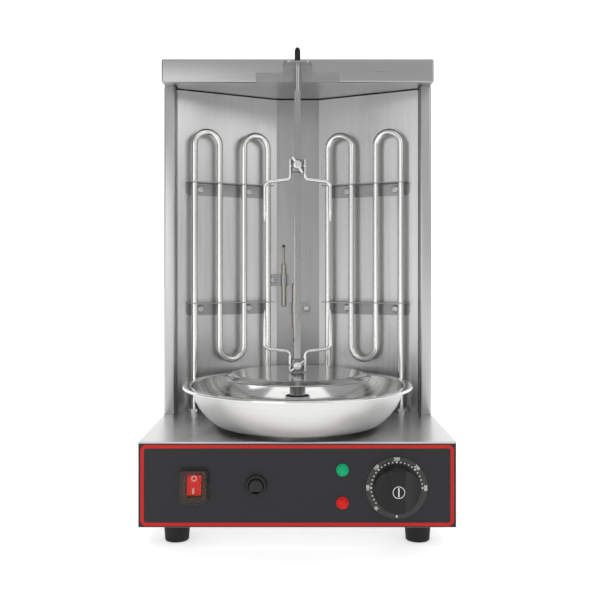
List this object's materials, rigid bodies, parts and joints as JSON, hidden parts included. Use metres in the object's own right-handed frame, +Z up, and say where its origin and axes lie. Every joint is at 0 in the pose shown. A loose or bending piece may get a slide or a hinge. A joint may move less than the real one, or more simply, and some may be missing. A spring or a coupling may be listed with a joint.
{
  "type": "rotisserie oven",
  "caption": "Vertical electric rotisserie grill: control base, turning spit with forks, turntable, drip pan, reflectors, tubular heaters and roof.",
  "frame": {"origin": "floor level under the middle of the overall width and depth", "axes": "+Z up, -Y towards the control panel, +X to the right seen from the front"},
  "size_m": [0.325, 0.3482, 0.5366],
  "materials": {
    "brushed_stainless": "brushed",
    "mirror_stainless": "polished",
    "reflector_sheet": "satin",
    "strip_steel": "satin",
    "heater_sheath": "satin",
    "turned_steel": "satin",
    "zinc_plated_steel": "zinc plated",
    "sensor_copper": "nickel plated",
    "bush_bronze": "machined",
    "panel_paint": "satin",
    "black_plastic": "moulded",
    "red_lens": "gloss",
    "green_lens": "gloss",
    "clear_cover": "clear",
    "black_rubber": "moulded",
    "ceramic": "unglazed ceramic",
    "wire_insulation": "smooth"
  },
  "bodies": {
    "root": {"base_housing": "brushed_stainless", "base_sides": "brushed_stainless", "bottom_plate": "brushed_stainless", "bottom_plate_screws": "zinc_plated_steel", "rubber_feet": "black_rubber", "foot_screws": "zinc_plated_steel", "front_panel": "panel_paint", "switch_housing": "black_plastic", "switch_cover": "clear_cover", "green_lamp": "green_lens", "red_lamp": "red_lens", "lamp_bodies": "black_plastic", "reset_collar": "black_plastic", "high_limit_switch": "black_plastic", "dial_ring": "black_plastic", "thermostat_body": "black_plastic", "motor_bracket": "zinc_plated_steel", "motor_screws": "zinc_plated_steel", "gear_motor": "zinc_plated_steel", "drive_bush": "bush_bronze", "pan_support_ring": "zinc_plated_steel", "right_side_wall": "brushed_stainless", "left_side_wall": "brushed_stainless", "back_cover": "brushed_stainless", "cover_screws": "zinc_plated_steel", "right_reflector": "reflector_sheet", "left_reflector": "reflector_sheet", "centre_reflector": "reflector_sheet", "roof_cover": "brushed_stainless", "ceiling_plate": "brushed_stainless", "top_bracket": "brushed_stainless", "right_heater": "heater_sheath", "left_heater": "heater_sheath", "heater_fittings": "zinc_plated_steel", "heater_terminals": "ceramic", "upper_strips": "strip_steel", "lower_strips": "strip_steel", "reflector_screws": "zinc_plated_steel", "bulb_clips": "strip_steel", "thermostat_bulb": "sensor_copper", "limit_bulb": "sensor_copper", "capillary_grommets": "black_rubber", "cable_gland": "black_plastic", "terminal_block": "ceramic", "wiring": "wire_insulation"},
    "drive": {"motor_shaft": "turned_steel", "drive_shaft": "turned_steel", "turntable": "mirror_stainless"},
    "drip_pan": {"drip_pan": "mirror_stainless"},
    "spit": {"spit": "turned_steel"},
    "upper_fork": {"upper_clamp": "turned_steel", "upper_prongs": "turned_steel"},
    "lower_fork": {"lower_clamp": "turned_steel", "lower_prongs": "turned_steel"},
    "upper_screw": {"upper_clamp_screw": "turned_steel"},
    "lower_screw": {"lower_clamp_screw": "turned_steel"},
    "knob": {"control_knob": "black_plastic", "thermostat_shaft": "turned_steel"},
    "rocker": {"rocker_button": "red_lens"},
    "reset_button": {"reset_button": "black_plastic"}
  },
  "joints": [
    {"name": "drive_turn", "type": "hinge", "parent": "root", "child": "drive", "pos_m": [0, -0.04514, 0.1086], "axis": [0, 0, 1], "continuous": true},
    {"name": "pan_lift", "type": "slide", "parent": "root", "child": "drip_pan", "axis": [0, 0, 1], "range_m": [0, 0.012]},
    {"name": "spit_lift", "type": "slide", "parent": "drive", "child": "spit", "axis": [0, 0, 1], "range_m": [0, 0.028]},
    {"name": "upper_fork_slide", "type": "slide", "parent": "spit", "child": "upper_fork", "axis": [0, 0, 1], "range_m": [-0.045, 0.075]},
    {"name": "lower_fork_slide", "type": "slide", "parent": "spit", "child": "lower_fork", "axis": [0, 0, 1], "range_m": [0, 0.045]},
    {"name": "upper_screw_turn", "type": "hinge", "parent": "upper_fork", "child": "upper_screw", "pos_m": [0, -0.04514, 0.4021], "axis": [0, 1, 0], "continuous": true},
    {"name": "lower_screw_turn", "type": "hinge", "parent": "lower_fork", "child": "lower_screw", "pos_m": [0, -0.04514, 0.1771], "axis": [0, 1, 0], "range_deg": [0, 76]},
    {"name": "thermostat_turn", "type": "hinge", "parent": "root", "child": "knob", "pos_m": [0.1014, -0.13686, 0.0624], "axis": [0, 1, 0], "range_deg": [0, 270]},
    {"name": "rocker_tilt", "type": "hinge", "parent": "root", "child": "rocker", "pos_m": [-0.105, -0.13286, 0.0642], "axis": [1, 0, 0], "range_deg": [0, 20]},
    {"name": "reset_push", "type": "slide", "parent": "root", "child": "reset_button", "axis": [0, 1, 0], "range_m": [0, 0.0025], "stiffness_N_per_m": 500, "springref_m": -0.002}
  ]
}
